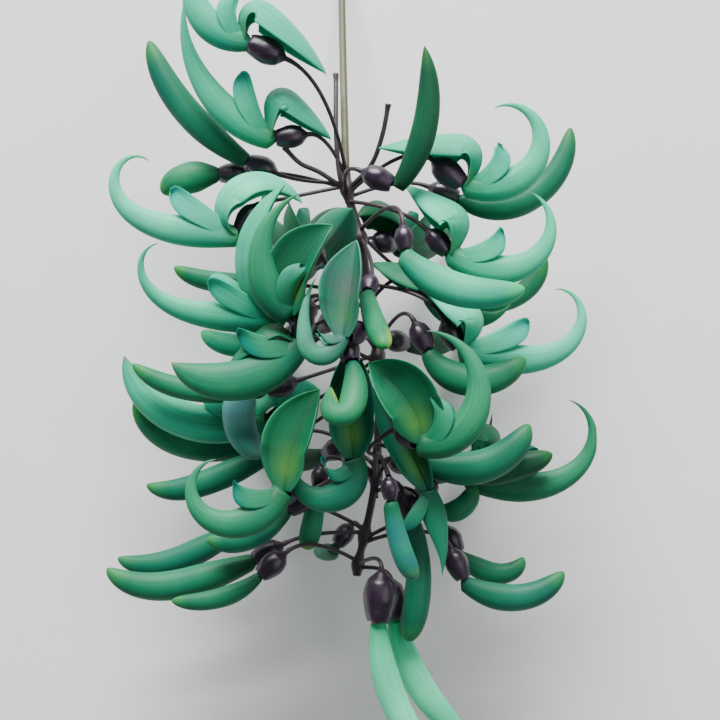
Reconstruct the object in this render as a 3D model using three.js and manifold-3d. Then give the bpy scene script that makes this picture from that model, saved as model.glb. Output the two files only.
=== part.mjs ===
// Jade vine: one cut raceme of claw-shaped flowers, lying on its back on a surface.
// Millimetres, +Z up, the cut end of the stem towards +Y. The origin is on the surface, under the
// middle of the raceme's box.
import * as THREE from "three";
import { mergeVertices } from "three/addons/utils/BufferGeometryUtils.js";
import Module from "manifold-3d";

const wasm = await Module();
wasm.setup();

// Driving dimensions.
const CLAW_DEPTH = 15; // keel of an open flower, in the plane of its curl
const CLAW_WIDTH = 9.6;
const CLAW_ROOT = 0.58; // size at its root, as a share of its full size
const CLAW_SWELL = 0.35; // share of its length where it is fullest
const CLAW_BEAK = 0.09; // size left at its tip
const CLAW_FALL = [2.2, 1.8]; // how late it narrows to its tip, and how bluntly: lower is blunter
const CLAW_LEAN = 0.24; // how far its slender half keeps to the outer side of the curl, by its depth
const BUD_DEPTH = 10.8;
const BUD_WIDTH = 8.4;
const BUD_ROOT = 0.58;
const BUD_SWELL = 0.4;
const BUD_FALL = [5, 0.6];
const KNOB_ROOT = 0.72; // the same of a bud that ends in a thick round knob
const KNOB_SWELL = 0.8;
const KNOB_FALL = [9, 0.5];
const HOOK_FALL = [4.5, 0.9]; // the same of one that is hooked back to a point
const TIP_BUNCH = 1.5; // above 1 the rings of a blunt limb crowd towards its tip
const WING_REACH = 0.42; // share of the claw's length that the wings follow
const WING_RISE = 15; // how far their ends stand up from the claw's middle
const WING_DEPTH = 15;
const WING_THICKNESS = 2.2;
const WING_ROOT = 0.4;
const WING_FALL = [6, 0.5];
const WING_SEAT = 1.4; // how far a wing's root stands out from the flower's plane
const WING_SPREAD = 4.6; // and its middle
const WING_BELLY = 0.8; // share of a half turn of the sine that carries it from one to the other
const HOOD_WIDTH = 30; // the standard, measured round its fold
const HOOD_THICKNESS = 1.1;
const HOOD_ROOT = 0.22;
const HOOD_WIDEST = 0.45; // share of its length where it is widest
const HOOD_TIP = 0.06;
const HOOD_FALL = 2.2;
const HOOD_CREASE = THREE.MathUtils.degToRad(15); // lean of each half at the fold
const HOOD_DRAPE = THREE.MathUtils.degToRad(85); // and at the margin
const HOOD_FLARE = 0.35; // share of the standard's length over which its fold deepens
const SEAT_RADIUS = 3.8; // how far a flower's fleshy base reaches back into its calyx
const CALYX_RADIUS = 5.2;
const CALYX_LENGTH = 16.5;
const CALYX_ROOT = 0.2;
const CALYX_SWELL = [0.1, 0.7]; // its outline is a sine's, from here on and over so many half turns
const KNEE_SHARE = 0.72; // of a kneed curve's turn, the share in its knee
const KNEE_REACH = 0.2; // how far the knee reaches to both sides along the curve
const STALK_RADIUS = 0.9;
const STALK_BOW = 0.35; // how far a stalk bows out, as a share of its span
const RACHIS_RADIUS = 2;
const KNOT_SPREAD = 1.4; // step along the rachis between the stalks of one knot
const STEM_RADIUS = 1.7;
const BARE_RADIUS = 1.1;
const GROUND = 600; // the block that stands for the surface where it trims what lies on it
const GAP = 0.3; // between pieces that touch
const UP = new THREE.Vector3(0, 0, 1);

// The places below are measured from a point on the rachis, which lies here over the surface.
const CENTRE = new THREE.Vector3(3.35, -13.1, 62);

// Knots of the rachis, from the stem down to the last buds.
const KNOTS = {
  A: [-6, 77, 0],
  B: [0, 55, 0],
  C: [4, 29, 0],
  D: [8, 2, 0],
  E: [7, -52, 0],
  F: [2, -79, 0],
  G: [-1, -92, 0],
};

// Each flower: the mouth of its calyx, the way its claw sets out (aim is the compass angle, rise the
// angle above the level, roll turns its curl: 0 curls left, 90 up and 180 right), the claw's length,
// its turn in degrees and how late it turns. tuck is the calyx's angle behind the claw. hood is the
// standard: length, first angle, turn, how early it turns, and the fold: 1 bent back, -1 still a boat.
// wide is its share of the full width, and spin turns it round its middle. dip stands the calyx up
// under the flower. girth and cup size the flower and its calyx, tip names a bud's other taper, and
// reach is the wings' own share of the claw.
const FLOWERS = [
  { id: "01", knot: "A", mouth: [-50, 138, 23], aim: 176, rise: 0, roll: 180, tuck: -19,
    claw: [60, 138, 0.9], hood: [66, 68, 173, -0.26, 1], cup: 1.15 },
  { id: "02", knot: "A", mouth: [-40, 98, 8], aim: 161, rise: 4, roll: 180, tuck: 27,
    claw: [78, 73, 0.8], hood: [58, 58, 164, -0.4, 1] },
  { id: "03", knot: "A", mouth: [-53, 91, -4], aim: 145, rise: 0, roll: 180, tuck: 12,
    claw: [70, 40, 1.4], girth: 1.2 },
  { id: "04", knot: "A", mouth: [-54, 54, 16], aim: 173, rise: 5, roll: 180, tuck: 65,
    claw: [81, 215, 3.4], hood: [68, -10, 250, 0.68, 1], via: [-36, 72, 2] },
  { id: "05", knot: "A", mouth: [-67, 85, -12], aim: 182, rise: 0, roll: 180, tuck: 2,
    claw: [26, -55, 1.81], girth: 1.35 },
  { id: "06", knot: "A", mouth: [16, 74, 30], aim: 50, rise: 10, roll: 0, tuck: 74,
    claw: [62, 52, 0.8], girth: 1.02, tip: "hook" },
  { id: "07", knot: "A", mouth: [47, 76, 12], aim: 356, rise: 0, roll: 0, tuck: 35,
    claw: [70, 203, 1.5], hood: [66, 60, 144, -0.3, 1], cup: 1.15 },
  { id: "08", knot: "A", mouth: [47, 73, -10], aim: 326, rise: 0, roll: 0, tuck: -12,
    claw: [71, 122, 0.8], girth: 1.1 },
  { id: "09", knot: "A", mouth: [40, 45, 22], aim: 332, rise: 5, roll: 0, tuck: 18,
    claw: [68.5, 175, 1.47], hood: [50, 84, 110, -0.37, 1], wide: 1.2, cup: 0.95 },
  { id: "11", knot: "B", mouth: [19, 43, 44], aim: 310, rise: 5, roll: 0, tuck: 36,
    claw: [54, 66, 0.9], girth: 1.3, cup: 0.8 },
  { id: "12", knot: "B", mouth: [32, 32, -19], aim: 343, rise: 0, roll: 0, tuck: 19,
    claw: [66, 108, 2] },
  { id: "14", knot: "C", mouth: [44, 3, 20], aim: 353, rise: 0, roll: 0, tuck: 56,
    claw: [77, 188, 2.7], hood: [50, 53, 120, -0.37, 1], wide: 1.15 },
  { id: "15", knot: "D", mouth: [30, 2, 30], aim: 295, rise: 5, roll: 0, tuck: 0,
    claw: [47, 114, 0.8], girth: 1.25, cup: 0.95 },
  { id: "17", knot: "E", mouth: [25, -35, 52], aim: 347, rise: 10, roll: 0, tuck: 24, dip: 40,
    claw: [70, 178, 0.8], hood: [42, 85, 74, 0.45, -1], wide: 1.15, spin: 75, via: [-3, -40, 38] },
  { id: "18", knot: "E", mouth: [28, -44, 24], aim: 342, rise: 5, roll: 0, tuck: 4,
    claw: [53, 89, 1.3], girth: 1.35 },
  { id: "19", knot: "E", mouth: [48, -51, 14], aim: 9, rise: 0, roll: 0, tuck: 26,
    claw: [38, 16, 1.7], girth: 1.1, cup: 0.9 },
  { id: "20", knot: "E", mouth: [49, -54, 4], aim: 351, rise: 0, roll: 0, tuck: 17,
    claw: [84, 166, 2.1], hood: [47, 51, 142, -0.55, 1], wide: 1.1 },
  { id: "21", knot: "C", mouth: [-30, 19, 38], aim: 147, rise: 10, roll: 180, tuck: 50, dip: 45,
    claw: [59, 111, 0.8], hood: [43, 70, 32, 1.42, -1], wide: 1.1, spin: -50 },
  { id: "22", knot: "C", mouth: [-7, 9, 51], aim: 236, rise: 15, roll: 180, tuck: -30, dip: 48,
    claw: [49, 168, -0.28], girth: 0.62, reach: 0.2, hood: [43, 158, -5, 0.4, -1], wide: 1.55,
    spin: -55 },
  { id: "23", knot: "B", mouth: [3, 27, 34], aim: 283, rise: 50, roll: 0, tuck: 17,
    claw: [36, 10, 1.5], girth: 0.88, tip: "knob", cup: 0.8 },
  { id: "24", knot: "D", mouth: [-3, -3, 48], aim: 284, rise: 35, roll: 180, tuck: 0,
    claw: [41, 200, -0.62], girth: 1.05, tip: "hook", cup: 0.95 },
  { id: "25", knot: "C", mouth: [-35, 17, 14], aim: 174, rise: 0, roll: 166, tuck: 38,
    claw: [82, 159, 3.8], hood: [77, 0, 148, 0.72, 1], wide: 0.9 },
  { id: "26", knot: "C", mouth: [-46, 35, -14], aim: 178, rise: 0, roll: 180, tuck: 0,
    claw: [41, 35, 2.7], girth: 0.9 },
  { id: "27", knot: "C", mouth: [-39, 7, -8], aim: 183, rise: 0, roll: 180, tuck: 23,
    claw: [35, 51, 2.6] },
  { id: "28", knot: "D", mouth: [-26, 6, 32], aim: 224, rise: 5, roll: 180, tuck: 36,
    claw: [60, 84, 1.29], girth: 1.2, tip: "hook", hood: [41, 96, -107, -0.34, -1], wide: 0.45 },
  { id: "29", knot: "D", mouth: [-44, -14, 7], aim: 181, rise: 0, roll: 180, tuck: 16,
    claw: [60, 45, 2.4], girth: 0.95 },
  { id: "30", knot: "D", mouth: [-44, -29, -8], aim: 186, rise: 0, roll: 180, tuck: 17,
    claw: [78, 84, 1.6], girth: 1.15, tip: "hook", hood: [45, 40, 190, 0.7, 1] },
  { id: "31", knot: "D", mouth: [-44, -39, -18], aim: 186, rise: 0, roll: 180, tuck: 16,
    claw: [70, 85, 2.3], girth: 1.2 },
  { id: "32", knot: "D", mouth: [-48, -8, 14], aim: 234, rise: 5, roll: 0, tuck: 2,
    claw: [39, 89, 1.02], girth: 1.35 },
  { id: "33", knot: "E", mouth: [-41, -43, -4], aim: 204, rise: 0, roll: 180, tuck: 9,
    claw: [59, 53, 4], girth: 1.1 },
  { id: "35", knot: "E", mouth: [-32, -55, 42], aim: 230, rise: 10, roll: 180, tuck: -118, dip: 79,
    claw: [64, 215, 1.56], hood: [46, 153, 14, 1.1, -1], wide: 1.1, spin: -60 },
  { id: "36", knot: "E", mouth: [-33, -67, 20], aim: 219, rise: 0, roll: 180, tuck: 0,
    claw: [37, 62, 1.9] },
  { id: "37", knot: "F", mouth: [-55, -77, -6], aim: 208, rise: 0, roll: 180, tuck: 6,
    claw: [59, 59, 2.9], girth: 1.1 },
  { id: "38", knot: "F", mouth: [-49, -90, 8], aim: 199, rise: 0, roll: 180, tuck: 10,
    claw: [67, 65, 2.8], girth: 1.25 },
  { id: "39", knot: "G", mouth: [-45, -95, 22], aim: 222, rise: 0, roll: 180, tuck: 0,
    claw: [39, 50, 0.8], girth: 0.8 },
  { id: "40", knot: "E", mouth: [-3, -42, 37], aim: 290, rise: 5, roll: 180, tuck: 4, dip: 88,
    claw: [51, 238, 0.94], hood: [48, 199, 0, 1, -1], spin: -90 },
  { id: "41", knot: "F", mouth: [-12, -86, -4], aim: 234, rise: -70, roll: 180, tuck: 0, dip: 45,
    claw: [26, 20, 1], girth: 0.85, cup: 0.85 },
  { id: "42", knot: "E", mouth: [-19, -59, 14], aim: 261, rise: -3, roll: 180, tuck: 0,
    claw: [25, 5, 1.5], girth: 0.9, tip: "knob", cup: 0.75 },
  { id: "43", knot: "E", mouth: [13, -61, 46], aim: 281, rise: 0, roll: 0, tuck: 6,
    claw: [32, 21, 1.8], girth: 0.85, tip: "knob", cup: 0.75, via: [6, -30, 23] },
  { id: "44", knot: "E", mouth: [23, -73, 15], aim: 286, rise: 0, roll: 180, tuck: 0,
    claw: [51, 33, 0.8], girth: 1.1, tip: "knob" },
  { id: "45", knot: "E", mouth: [29, -56, 31], aim: 282, rise: 8, roll: 180, tuck: -11, dip: 88,
    claw: [36, 5, 0.8], girth: 0.8, hood: [51, 174, -13, 0.4, -1], wide: 0.9, spin: -77,
    via: [14, -29, 11] },
  { id: "46", knot: "F", mouth: [45, -88, 4], aim: 327, rise: 0, roll: 0, tuck: 31,
    claw: [33, 114, 2.3], girth: 0.9, cup: 0.9 },
  { id: "47", knot: "E", mouth: [35, -66, 12], aim: 329, rise: 0, roll: 0, tuck: 5,
    claw: [22, 121, 0.8], girth: 0.9, cup: 0.75 },
  { id: "48", knot: "F", mouth: [46, -98, 16], aim: 332, rise: 0, roll: 0, tuck: 40,
    claw: [48, 85, 1.4], girth: 1.1 },
  { id: "50", knot: "G", mouth: [8, -115, 22], aim: 272, rise: -5, roll: 0, tuck: 5,
    claw: [76, 44, 1], girth: 1.15, cup: 1.45 },
  { id: "51", knot: "G", mouth: [16, -117, 6], aim: 281, rise: -5, roll: 0, tuck: 4,
    claw: [64, 42, 1], girth: 1.2, cup: 1.2 },
  { id: "52", knot: "B", mouth: [-23, 42, 11], aim: 231, rise: -82, roll: 270, tuck: 20,
    claw: [50, 80, 1.5], hood: [32, 100, 20, 1, -1], via: [2, 7, -1] },
  { id: "53", knot: "C", mouth: [32, 28, 5], aim: 323, rise: 0, roll: 0, tuck: -3,
    claw: [38, 74, 1.3], hood: [40, 93, 128, -0.21, 1], cup: 0.8 },
  { id: "60", knot: "B", mouth: [-23, 53, -25], aim: 163, rise: -49, roll: 180, tuck: 28,
    claw: [66, 95, 1.8], hood: [48, 40, 195, 0.7, 1] },
  { id: "61", knot: "B", mouth: [17, 53, -24], aim: 1, rise: -51, roll: 0, tuck: 10,
    claw: [66, 95, 1.8], hood: [48, 40, 195, 0.7, 1] },
  { id: "62", knot: "C", mouth: [-19, 14, -29], aim: 208, rise: -43, roll: 180, tuck: 10,
    claw: [64, 90, 1.8], girth: 1.1 },
  { id: "63", knot: "D", mouth: [23, 7, -26], aim: 358, rise: -48, roll: 0, tuck: 10,
    claw: [64, 90, 1.8], girth: 1.1 },
  { id: "64", knot: "E", mouth: [-17, -45, -26], aim: 198, rise: -48, roll: 180, tuck: 10,
    claw: [64, 90, 1.8], girth: 1.1 },
  { id: "65", knot: "E", mouth: [25, -51, -28], aim: 349, rise: -44, roll: 0, tuck: 10,
    claw: [66, 95, 1.8], hood: [48, 40, 195, 0.7, 1] },
];

const RACHIS_TOP = [-6.3, 84.8, -0.5];
const RACHIS_END = [-1.5, -97, 0];

// Stalks whose flowers have dropped: the strand beside the stem first.
const BARE_STALKS = [
  [[-6, 76, 0], [-8.5, 80, 3], [-10.5, 96, 2], [-11, 130, -6]],
  [[-5, 77, 1], [5, 87, 6], [10, 100, 10], [12.5, 113, 12]],
  [[-7, 77, 0], [-18, 84, 3], [-27, 88, 5], [-34, 95, 6]],
];

// The stem, from the rachis to its cut end, which lies on the surface.
const STEM_LINE = [[-6.4, 86, -0.8], [-7, 105, -7], [-8.5, 160, -36], [-9.5, 208, -60.8]];

// Sides, rings and steps of the faceted pieces.
const CLAW_SIDES = 6;
const CLAW_RINGS = 8;
const BUD_RINGS = 7;
const WING_SIDES = 4;
const WING_RINGS = 5;
const HOOD_ROWS = 5;
const HOOD_BUNCH = 1.25; // brings a standard's rows closer together near its root
const HOOD_COLUMNS = 4;
const STALK_SIDES = 5;
const STALK_RINGS = 8;
const STALK_SHARE = 1 / 2; // of a stalk's rings, the share that is slender
const ROD_SIDES = 6;
const STEM_STEPS = 8;
const RACHIS_STEPS = 15;
const BARE_SIDES = 4;
const BARE_STEPS = 6;
const BEND_STEPS = 48;

const radians = THREE.MathUtils.degToRad;
const vector = (place) => new THREE.Vector3(...place).add(CENTRE);
const line = (places) => new THREE.CatmullRomCurve3(places.map(vector));

// A mesh as a solid that can be joined and cut, and back.
function solid(geometry) {
  const bare = geometry.clone();
  bare.deleteAttribute("normal");
  bare.deleteAttribute("uv");
  const merged = mergeVertices(bare, 1e-4);
  return new wasm.Manifold(
    new wasm.Mesh({
      numProp: 3,
      vertProperties: new Float32Array(merged.attributes.position.array),
      triVerts: new Uint32Array(merged.index.array),
    }),
  );
}

function join(solids) {
  return solids.reduce((whole, piece) => whole.add(piece));
}

function geometryOf(body) {
  const { vertProperties, triVerts } = body.getMesh();
  const geometry = new THREE.BufferGeometry();
  geometry.setAttribute("position", new THREE.BufferAttribute(new Float32Array(vertProperties), 3));
  geometry.setIndex(new THREE.BufferAttribute(new Uint32Array(triVerts), 1));
  return geometry;
}

// A flower's frame: along its claw's first direction, towards its curl, and across its plane.
function frameOf({ aim, rise, roll }) {
  const [a, r, o] = [aim, rise, roll].map(radians);
  const along = new THREE.Vector3(Math.cos(a) * Math.cos(r), Math.sin(a) * Math.cos(r), Math.sin(r));
  const level = new THREE.Vector3(-Math.sin(a), Math.cos(a), 0);
  const upright = along.clone().cross(level);
  const inward = level.multiplyScalar(Math.cos(o)).addScaledVector(upright, Math.sin(o));
  return { along, inward, across: along.clone().cross(inward) };
}

// The share of a curve's turn that it has made at s. A positive late spreads the turn, early in the
// curve below 1 and late above it. A negative one makes a knee there, and a slow bend besides.
function turned(s, late) {
  if (late > 0) return s ** late;
  const knee = THREE.MathUtils.smoothstep(s, -late - KNEE_REACH, -late + KNEE_REACH);
  return KNEE_SHARE * knee + (1 - KNEE_SHARE) * s;
}

// A curve in the flower's plane that turns from its first angle.
function bendPath(frame, origin, length, start, turn, late) {
  const stations = [{ x: 0, y: 0 }];
  for (let i = 0; i < BEND_STEPS; i++) {
    const angle = radians(start + turn * turned((i + 0.5) / BEND_STEPS, late));
    const last = stations[i];
    const step = length / BEND_STEPS;
    stations.push({ x: last.x + step * Math.cos(angle), y: last.y + step * Math.sin(angle) });
  }
  return (s) => {
    const place = THREE.MathUtils.clamp(s, 0, 1) * BEND_STEPS;
    const i = Math.min(Math.floor(place), BEND_STEPS - 1);
    const x = THREE.MathUtils.lerp(stations[i].x, stations[i + 1].x, place - i);
    const y = THREE.MathUtils.lerp(stations[i].y, stations[i + 1].y, place - i);
    const angle = radians(start + turn * turned(THREE.MathUtils.clamp(s, 0, 1), late));
    const mix = (p, q) => frame.along.clone().multiplyScalar(p).addScaledVector(frame.inward, q);
    return {
      point: mix(x, y).add(origin),
      normal: mix(-Math.sin(angle), Math.cos(angle)),
    };
  };
}

// A closed limb round a path: a sphere whose rings are moved onto the path. size(s) gives the half
// depth and half width there, shift(s) a sideways offset, heel where its root bulges back to, and bunch
// crowds its rings towards its tip. A flat limb ends in a flat mouth.
function limb(sides, rings, path, across, size, { shift = () => 0, heel, flat = false, bunch = 1 } = {}) {
  const geometry = new THREE.SphereGeometry(1, sides, rings);
  const { position, uv } = geometry.attributes;
  for (let i = 0; i < position.count; i++) {
    const ring = (1 - uv.getY(i)) * rings;
    const share = THREE.MathUtils.clamp((ring - 1) / (rings - (flat ? 2 : 1)), 0, 1);
    const s = 1 - (1 - share) ** bunch;
    const { point, normal, side = across } = path(s);
    const pole = ring < 0.5 || ring > rings - 0.5;
    if (heel && ring < 0.5) point.add(heel);
    const [depth, width] = pole ? [0, 0] : size(s);
    const turn = uv.getX(i) * Math.PI * 2;
    point.addScaledVector(normal, -depth * Math.cos(turn));
    point.addScaledVector(side, width * Math.sin(turn) + shift(s));
    position.setXYZ(i, point.x, point.y, point.z);
  }
  return solid(geometry);
}

// A closed blade of even thickness over a grid of points, split alike on both faces.
function blade(grid, thickness) {
  const rows = grid.length;
  const columns = grid[0].length;
  const vertices = [];
  const edge = new THREE.Vector3();
  const span = new THREE.Vector3();
  for (const side of [1, -1]) {
    for (let r = 0; r < rows; r++) {
      for (let c = 0; c < columns; c++) {
        edge.subVectors(grid[Math.min(r + 1, rows - 1)][c], grid[Math.max(r - 1, 0)][c]);
        span.subVectors(grid[r][Math.min(c + 1, columns - 1)], grid[r][Math.max(c - 1, 0)]);
        const offset = edge.cross(span).setLength((side * thickness) / 2);
        vertices.push(...grid[r][c].clone().add(offset).toArray());
      }
    }
  }
  const index = [];
  const under = rows * columns;
  const at = (r, c) => r * columns + c;
  for (let r = 0; r + 1 < rows; r++) {
    for (let c = 0; c + 1 < columns; c++) {
      const [a, b, d, e] = [at(r, c), at(r + 1, c), at(r + 1, c + 1), at(r, c + 1)];
      index.push(a, b, d, a, d, e);
      index.push(a + under, d + under, b + under, a + under, e + under, d + under);
    }
  }
  const rim = [];
  for (let r = 0; r < rows - 1; r++) rim.push(at(r, 0));
  for (let c = 0; c < columns - 1; c++) rim.push(at(rows - 1, c));
  for (let r = rows - 1; r > 0; r--) rim.push(at(r, columns - 1));
  for (let c = columns - 1; c > 0; c--) rim.push(at(0, c));
  rim.forEach((a, i) => {
    const b = rim[(i + 1) % rim.length];
    index.push(b, a, a + under, b, a + under, b + under);
  });
  const geometry = new THREE.BufferGeometry();
  geometry.setAttribute("position", new THREE.Float32BufferAttribute(vertices, 3));
  geometry.setIndex(index);
  return solid(geometry);
}

// Size along a limb as a share of its full size: it grows from its root to the place where it is
// fullest, and narrows to its tip.
function swelling(s, root, full) {
  return root + (1 - root) * Math.sin((Math.PI / 2) * Math.min(1, s / full));
}

function narrowing(s, [power, blunt]) {
  return (1 - s ** power) ** blunt;
}

// An open flower's keel ends in a fine beak, and a bud in a blunt tip unless its row says otherwise.
const TAPERS = {
  beak: (s) => CLAW_BEAK + (1 - CLAW_BEAK) * swelling(s, CLAW_ROOT, CLAW_SWELL) * narrowing(s, CLAW_FALL),
  blunt: (s) => swelling(s, BUD_ROOT, BUD_SWELL) * narrowing(s, BUD_FALL),
  knob: (s) => swelling(s, KNOB_ROOT, KNOB_SWELL) * narrowing(s, KNOB_FALL),
  hook: (s) => swelling(s, BUD_ROOT, BUD_SWELL) * narrowing(s, HOOK_FALL),
};
const wingTaper = (s) => (WING_ROOT + (1 - WING_ROOT) * s) * narrowing(s, WING_FALL);

function hoodTaper(s) {
  if (s < HOOD_WIDEST) return swelling(s, HOOD_ROOT, HOOD_WIDEST);
  return Math.max(HOOD_TIP, 1 - ((s - HOOD_WIDEST) / (1 - HOOD_WIDEST)) ** HOOD_FALL);
}

// The way a calyx points, which can differ from the way its flower's claw sets out: tuck turns it in
// the flower's plane and dip stands it up under the flower.
function calyxWay(row, frame) {
  const [tuck, dip] = [-row.tuck, row.dip ?? 0].map(radians);
  const way = frame.along.clone().multiplyScalar(Math.cos(tuck));
  way.addScaledVector(frame.inward, Math.sin(tuck)).multiplyScalar(Math.cos(dip));
  return way.addScaledVector(UP, Math.sin(dip)).normalize();
}

function claw(row, frame, origin) {
  const [length, turn, late] = row.claw;
  const girth = row.girth ?? 1;
  const bend = bendPath(frame, origin, length, 0, turn, late);
  const open = row.hood !== undefined;
  const depth = (open ? CLAW_DEPTH : BUD_DEPTH) / 2;
  const width = (open ? CLAW_WIDTH : BUD_WIDTH) / 2;
  const tip = row.tip ?? (open ? "beak" : "blunt");
  const lean = tip === "beak" ? girth * depth * CLAW_LEAN : 0;
  const path = (s) => {
    const { point, normal } = bend(s);
    return { point: point.addScaledVector(normal, -lean * Math.sin(Math.PI * s ** 2)), normal };
  };
  const size = (s) => [depth, width].map((full) => girth * full * TAPERS[tip](s));
  const heel = calyxWay(row, frame).multiplyScalar(-SEAT_RADIUS);
  const bunch = open ? 1 : TIP_BUNCH;
  return limb(CLAW_SIDES, open ? CLAW_RINGS : BUD_RINGS, path, frame.across, size, { heel, bunch });
}

// The two wings ride along the keel's first part, on the side it curls to, and widen to blunt ends.
function wings(row, frame, origin) {
  const girth = row.girth ?? 1;
  const [length, turn, late] = row.claw;
  const keel = bendPath(frame, origin, length, 0, turn, late);
  const path = (s) => {
    const { point, normal } = keel((row.reach ?? WING_REACH) * s);
    return { point: point.addScaledVector(normal, girth * WING_RISE * s), normal };
  };
  const size = (s) => [girth * WING_DEPTH, WING_THICKNESS].map((full) => (full / 2) * wingTaper(s));
  const belly = (s) => Math.sin(Math.PI * WING_BELLY * s);
  const spread = (s) => girth * (WING_SEAT + (WING_SPREAD - WING_SEAT) * belly(s));
  return [1, -1].map((side) => {
    const shift = (s) => side * spread(s);
    return limb(WING_SIDES, WING_RINGS, path, frame.across, size, { shift, bunch: TIP_BUNCH });
  });
}

// The standard: a pointed blade with a curved fold along its middle.
function hood(row, frame, origin) {
  const [length, start, turn, early, fold] = row.hood;
  const girth = row.girth ?? 1;
  const path = bendPath(frame, origin, length, start, turn, early);
  const spin = radians(row.spin ?? 0);
  const grid = [];
  for (let r = 0; r <= HOOD_ROWS; r++) {
    const s = (r / HOOD_ROWS) ** HOOD_BUNCH;
    const { point, normal } = path(s);
    const half = (girth * (row.wide ?? 1) * HOOD_WIDTH * hoodTaper(s)) / 2;
    const side = frame.across.clone().multiplyScalar(Math.cos(spin)).addScaledVector(normal, Math.sin(spin));
    const lift = normal.multiplyScalar(Math.cos(spin)).addScaledVector(frame.across, -Math.sin(spin));
    const strip = [];
    for (let c = 0; c <= HOOD_COLUMNS; c++) {
      const v = (2 * c) / HOOD_COLUMNS - 1;
      const flare = Math.abs(v) * Math.min(1, s / HOOD_FLARE);
      const lean = HOOD_CREASE + ((HOOD_DRAPE - HOOD_CREASE) * flare) / 2;
      const place = point.clone().addScaledVector(side, half * v * Math.cos(lean));
      strip.push(place.addScaledVector(lift, fold * half * Math.abs(v) * Math.sin(lean)));
    }
    grid.push(strip);
  }
  return blade(grid, HOOD_THICKNESS);
}

function flower(row) {
  const frame = frameOf(row);
  const origin = vector(row.mouth);
  const keel = claw(row, frame, origin);
  return row.hood ? join([keel, ...wings(row, frame, origin), hood(row, frame, origin)]) : keel;
}

// The calyx ends in a flat mouth behind the flower's base, and narrows into a stalk that runs to a
// knot of the rachis: one limb, slender at first and then swollen.
function calyx(row) {
  const frame = frameOf(row);
  const cup = row.cup ?? 1;
  const way = calyxWay(row, frame);
  const mouth = vector(row.mouth).addScaledVector(way, -(SEAT_RADIUS + GAP));
  const length = CALYX_LENGTH * cup - SEAT_RADIUS;
  const root = mouth.clone().addScaledVector(way, -length);
  const mates = FLOWERS.filter((other) => other.knot === row.knot);
  const knot = vector(KNOTS[row.knot]);
  knot.y -= KNOT_SPREAD * (mates.indexOf(row) - (mates.length - 1) / 2);
  const span = knot.distanceTo(root);
  const bow = row.via ? vector(row.via) : root.clone().addScaledVector(way, -STALK_BOW * span);
  const route = new THREE.QuadraticBezierCurve3(knot, bow, root);
  const across = root.clone().sub(knot).cross(way).normalize();
  const station = (point, tangent) => {
    const normal = across.clone().cross(tangent).normalize();
    return { point, normal, side: tangent.clone().cross(normal) };
  };
  const path = (s) => {
    const stalk = s / STALK_SHARE;
    if (stalk <= 1) return station(route.getPoint(stalk), route.getTangent(stalk));
    const share = (s - STALK_SHARE) / (1 - STALK_SHARE);
    return station(root.clone().addScaledVector(way, length * share), way);
  };
  const size = (s) => {
    if (s < STALK_SHARE) return [STALK_RADIUS, STALK_RADIUS];
    const turn = CALYX_SWELL[0] + (CALYX_SWELL[1] * (s - STALK_SHARE)) / (1 - STALK_SHARE);
    const swell = Math.sin(Math.PI * turn);
    const radius = cup * CALYX_RADIUS * (CALYX_ROOT + (1 - CALYX_ROOT) * swell);
    return [radius, radius];
  };
  return limb(STALK_SIDES, STALK_RINGS, path, across, size, { flat: true });
}

// A tube along a curve.
function rod(curve, radius, sides, steps) {
  const section = new THREE.Shape();
  for (let i = 0; i < sides; i++) {
    const angle = (i / sides) * Math.PI * 2;
    const [x, y] = [radius * Math.cos(angle), radius * Math.sin(angle)];
    if (i) section.lineTo(x, y);
    else section.moveTo(x, y);
  }
  return solid(new THREE.ExtrudeGeometry(section, { extrudePath: curve, steps, bevelEnabled: false }));
}

const JADE = { color: 0x3f9f86, roughness: 0.42, metalness: 0 };
const DUSK = { color: 0x2b2130, roughness: 0.5, metalness: 0 };
const OLIVE = { color: 0x55582f, roughness: 0.6, metalness: 0 };

function named(name, body, look) {
  const mesh = new THREE.Mesh(geometryOf(body), new THREE.MeshStandardMaterial(look));
  mesh.name = name;
  return mesh;
}

// What would reach below the surface is pressed flat on it.
function restOn(body) {
  const ground = new THREE.BoxGeometry(GROUND, GROUND, GROUND);
  ground.translate(0, 0, -GROUND / 2);
  return body.boundingBox().min[2] < 0 ? body.subtract(solid(ground)) : body;
}

const group = new THREE.Group();
group.add(named("stem", restOn(rod(line(STEM_LINE), STEM_RADIUS, ROD_SIDES, STEM_STEPS)), OLIVE));
const rachisLine = line([RACHIS_TOP, ...Object.values(KNOTS), RACHIS_END]);
const rachis = [rod(rachisLine, RACHIS_RADIUS, ROD_SIDES, RACHIS_STEPS)];
for (const places of BARE_STALKS) rachis.push(rod(line(places), BARE_RADIUS, BARE_SIDES, BARE_STEPS));
for (const row of FLOWERS) rachis.push(calyx(row));
group.add(named("rachis", join(rachis), DUSK));
for (const row of FLOWERS) {
  group.add(named(`${row.hood ? "bloom" : "bud"}_${row.id}`, restOn(flower(row)), JADE));
}

export default group;
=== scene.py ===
"""Jade vine raceme lying on its back: fine petals, buds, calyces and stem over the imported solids."""
import math

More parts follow.
